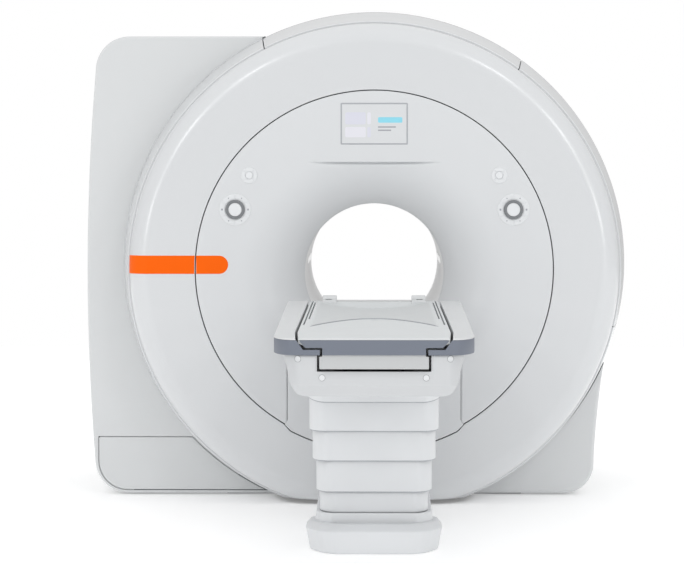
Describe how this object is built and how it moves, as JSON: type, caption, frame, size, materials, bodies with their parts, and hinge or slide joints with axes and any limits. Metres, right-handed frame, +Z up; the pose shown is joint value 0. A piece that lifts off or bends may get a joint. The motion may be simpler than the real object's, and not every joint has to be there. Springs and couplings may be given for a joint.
{
  "type": "mri scanner",
  "caption": "Hospital MRI scanner: round gantry with a trumpet-mouthed bore, side cabinets, and a patient table that rises on a telescopic column and slides into the bore.",
  "frame": {"origin": "on the floor, straight below the isocentre at the middle of the bore, and the centre of the floor anchor pattern", "axes": "+Y along the bore from the patient table towards the rear, +Z up, +X to the right seen from the table"},
  "size_m": [2.3629, 4.202, 2.123],
  "materials": {
    "cover_white": "satin",
    "box_white": "satin",
    "panel_white": "satin",
    "bore_white": "satin",
    "table_board": "satin",
    "table_white": "satin",
    "column_white": "satin",
    "slate_trim": "matte",
    "orange_stripe": "gloss",
    "display_frame": "satin",
    "display_glass": "gloss",
    "key_grey": "satin",
    "dial_dark": "satin",
    "button_white": "satin",
    "frame_steel": "satin",
    "vessel_steel": "satin",
    "coil_resin": "matte",
    "drive_steel": "satin",
    "rail_aluminium": "satin"
  },
  "bodies": {
    "gantry": {"base_frame": "frame_steel", "cryostat": "vessel_steel", "cold_head": "vessel_steel", "gradient_coil": "coil_resin", "body_coil": "coil_resin", "bore_liner": "bore_white", "bore_deck": "bore_white", "front_frame": "frame_steel", "front_ring_cover": "cover_white", "front_panel": "panel_white", "lower_bridge_cover": "panel_white", "rim_cover_top": "cover_white", "rim_cover_right": "cover_white", "rim_cover_lower_right": "cover_white", "rim_cover_left": "cover_white", "side_cover_left": "box_white", "side_cover_right": "box_white", "service_panel": "box_white", "rear_cover": "cover_white", "stripe_ring": "orange_stripe", "stripe_panel": "orange_stripe", "display_bezel": "display_frame", "display_screen": "display_glass", "control_units": "key_grey", "small_control_units": "key_grey", "table_base_plate": "frame_steel", "foot_cover": "column_white", "shell_4": "column_white", "lift_column": "drive_steel"},
    "lift": {"lift_rod": "drive_steel", "lift_crossmember": "frame_steel", "shell_1": "column_white", "neck_cover": "table_white", "table_housing": "table_white", "guide_rails": "rail_aluminium", "side_frame_left": "table_white", "side_frame_right": "table_white", "bumper_left": "slate_trim", "bumper_right": "slate_trim", "drive_motor": "drive_steel"},
    "upper_shell": {"shell_2": "column_white"},
    "lower_shell": {"shell_3": "column_white"},
    "table": {"table_top": "table_board", "table_end_block": "table_board", "bumper_center": "slate_trim", "carriage": "rail_aluminium", "coil_socket_left": "table_board", "coil_socket_right": "table_board"},
    "dial_left": {"dial_left": "dial_dark"},
    "dial_right": {"dial_right": "dial_dark"},
    "button_left": {"button_left": "button_white"},
    "button_right": {"button_right": "button_white"}
  },
  "joints": [
    {"name": "table_lift", "type": "slide", "parent": "gantry", "child": "lift", "axis": [0, 0, 1], "range_m": [-0.3, 0]},
    {"name": "upper_shell_slide", "type": "slide", "parent": "gantry", "child": "upper_shell", "axis": [0, 0, 1], "range_m": [-0.18, 0]},
    {"name": "lower_shell_slide", "type": "slide", "parent": "gantry", "child": "lower_shell", "axis": [0, 0, 1], "range_m": [-0.072, 0]},
    {"name": "table_travel", "type": "slide", "parent": "lift", "child": "table", "axis": [0, 1, 0], "range_m": [0, 1.7]},
    {"name": "dial_left_turn", "type": "hinge", "parent": "gantry", "child": "dial_left", "pos_m": [-0.594, -0.81, 1.266], "axis": [0, 1, 0], "continuous": true},
    {"name": "dial_right_turn", "type": "hinge", "parent": "gantry", "child": "dial_right", "pos_m": [0.594, -0.81, 1.266], "axis": [0, 1, 0], "continuous": true},
    {"name": "button_left_press", "type": "slide", "parent": "gantry", "child": "button_left", "axis": [0, 1, 0], "range_m": [0, 0.0015], "stiffness_N_per_m": 800, "springref_m": -0.001},
    {"name": "button_right_press", "type": "slide", "parent": "gantry", "child": "button_right", "axis": [0, 1, 0], "range_m": [0, 0.0015], "stiffness_N_per_m": 800, "springref_m": -0.001}
  ],
  "couplings": [
    {"joint": "upper_shell_slide", "follows": "table_lift", "ratio": 0.6},
    {"joint": "lower_shell_slide", "follows": "table_lift", "ratio": 0.24}
  ]
}
